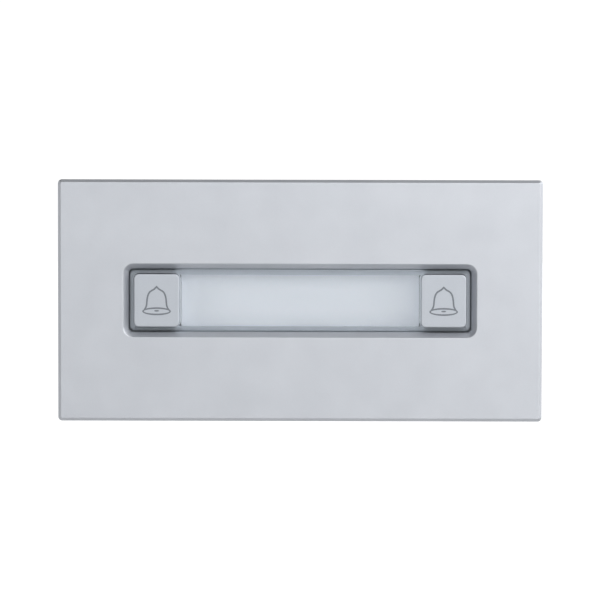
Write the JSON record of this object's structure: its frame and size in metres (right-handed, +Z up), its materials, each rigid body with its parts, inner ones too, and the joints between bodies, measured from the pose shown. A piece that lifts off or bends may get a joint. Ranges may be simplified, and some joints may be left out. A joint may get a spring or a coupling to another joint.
{
  "type": "door intercom call module",
  "caption": "Flat aluminium door call module: slotted plate with a clear bar, a blank lit name window between two push caps, and a sealed black housing with bus sockets behind.",
  "frame": {"origin": "centre of the housing's flat rear face, on the mounting surface", "axes": "+X to the right seen from the front, +Y from the front plate back to the mounting surface, +Z up"},
  "size_m": [0.098, 0.026, 0.049],
  "materials": {
    "plate_metal": "fine bead-blasted, anodised",
    "cap_paint": "silver lacquer, satin",
    "bell_ink": "grey inlay",
    "clear_plastic": "clear, polished",
    "label_film": "matt white film",
    "seal_rubber": "matt grey",
    "silicone": "translucent grey",
    "frame_plastic": "fine spark-eroded texture",
    "opal_plastic": "opal white",
    "led_body": "white body with yellow lens",
    "board": "green solder mask",
    "chip_epoxy": "black moulded epoxy",
    "capacitor_can": "drawn can on a black base",
    "ferrite": "pressed ferrite",
    "resistor_body": "ceramic chips with tinned ends",
    "socket_plastic": "glass-filled",
    "tinned_pin": "tin plated",
    "switch_plastic": "moulded",
    "switch_steel": "stamped",
    "plunger_plastic": "moulded, pale",
    "insert_brass": "turned",
    "zinc_steel": "zinc plated",
    "sticker": "matt silver sticker, blank"
  },
  "bodies": {
    "housing": {"front_plate": "plate_metal", "plate_seal": "seal_rubber", "window_bar": "clear_plastic", "inner_frame": "frame_plastic", "light_guide": "opal_plastic", "backlight_led_1": "led_body", "backlight_led_2": "led_body", "backlight_led_3": "led_body", "backlight_led_4": "led_body", "button_boot_left": "silicone", "button_boot_right": "silicone", "switch_base_left": "switch_plastic", "switch_base_right": "switch_plastic", "switch_cover_left": "switch_steel", "switch_cover_right": "switch_steel", "circuit_board": "board", "controller_chip": "chip_epoxy", "bus_driver_chip": "chip_epoxy", "storage_capacitor": "capacitor_can", "power_inductor": "ferrite", "chip_resistors": "resistor_body", "bus_in_socket": "socket_plastic", "bus_out_socket": "socket_plastic", "bus_in_pins": "tinned_pin", "bus_out_pins": "tinned_pin", "rear_cover": "frame_plastic", "rating_label": "sticker", "cover_seal": "seal_rubber", "mounting_inserts": "insert_brass", "cover_screws": "zinc_steel", "board_screws": "zinc_steel", "frame_screws": "zinc_steel"},
    "call_button_left": {"call_button_left": "cap_paint", "bell_mark_left": "bell_ink"},
    "call_button_right": {"call_button_right": "cap_paint", "bell_mark_right": "bell_ink"},
    "switch_plunger_left": {"switch_plunger_left": "plunger_plastic"},
    "switch_plunger_right": {"switch_plunger_right": "plunger_plastic"},
    "label_tray": {"label_tray": "clear_plastic", "label_strip": "label_film", "tray_seal": "seal_rubber"}
  },
  "joints": [
    {"name": "call_button_left_press", "type": "slide", "parent": "housing", "child": "call_button_left", "axis": [0, 1, 0], "range_m": [0, 0.0008], "stiffness_N_per_m": 3000, "springref_m": -0.0003, "deforming": ["button_boot_left"]},
    {"name": "switch_plunger_left_press", "type": "slide", "parent": "housing", "child": "switch_plunger_left", "axis": [0, 1, 0], "range_m": [0, 0.0008], "deforming": ["button_boot_left"]},
    {"name": "call_button_right_press", "type": "slide", "parent": "housing", "child": "call_button_right", "axis": [0, 1, 0], "range_m": [0, 0.0008], "stiffness_N_per_m": 3000, "springref_m": -0.0003, "deforming": ["button_boot_right"]},
    {"name": "switch_plunger_right_press", "type": "slide", "parent": "housing", "child": "switch_plunger_right", "axis": [0, 1, 0], "range_m": [0, 0.0008], "deforming": ["button_boot_right"]},
    {"name": "label_tray_slide", "type": "slide", "parent": "housing", "child": "label_tray", "axis": [0, 0, 1], "range_m": [0, 0.03]}
  ],
  "couplings": [
    {"joint": "switch_plunger_left_press", "follows": "call_button_left_press", "ratio": 1},
    {"joint": "switch_plunger_right_press", "follows": "call_button_right_press", "ratio": 1}
  ]
}
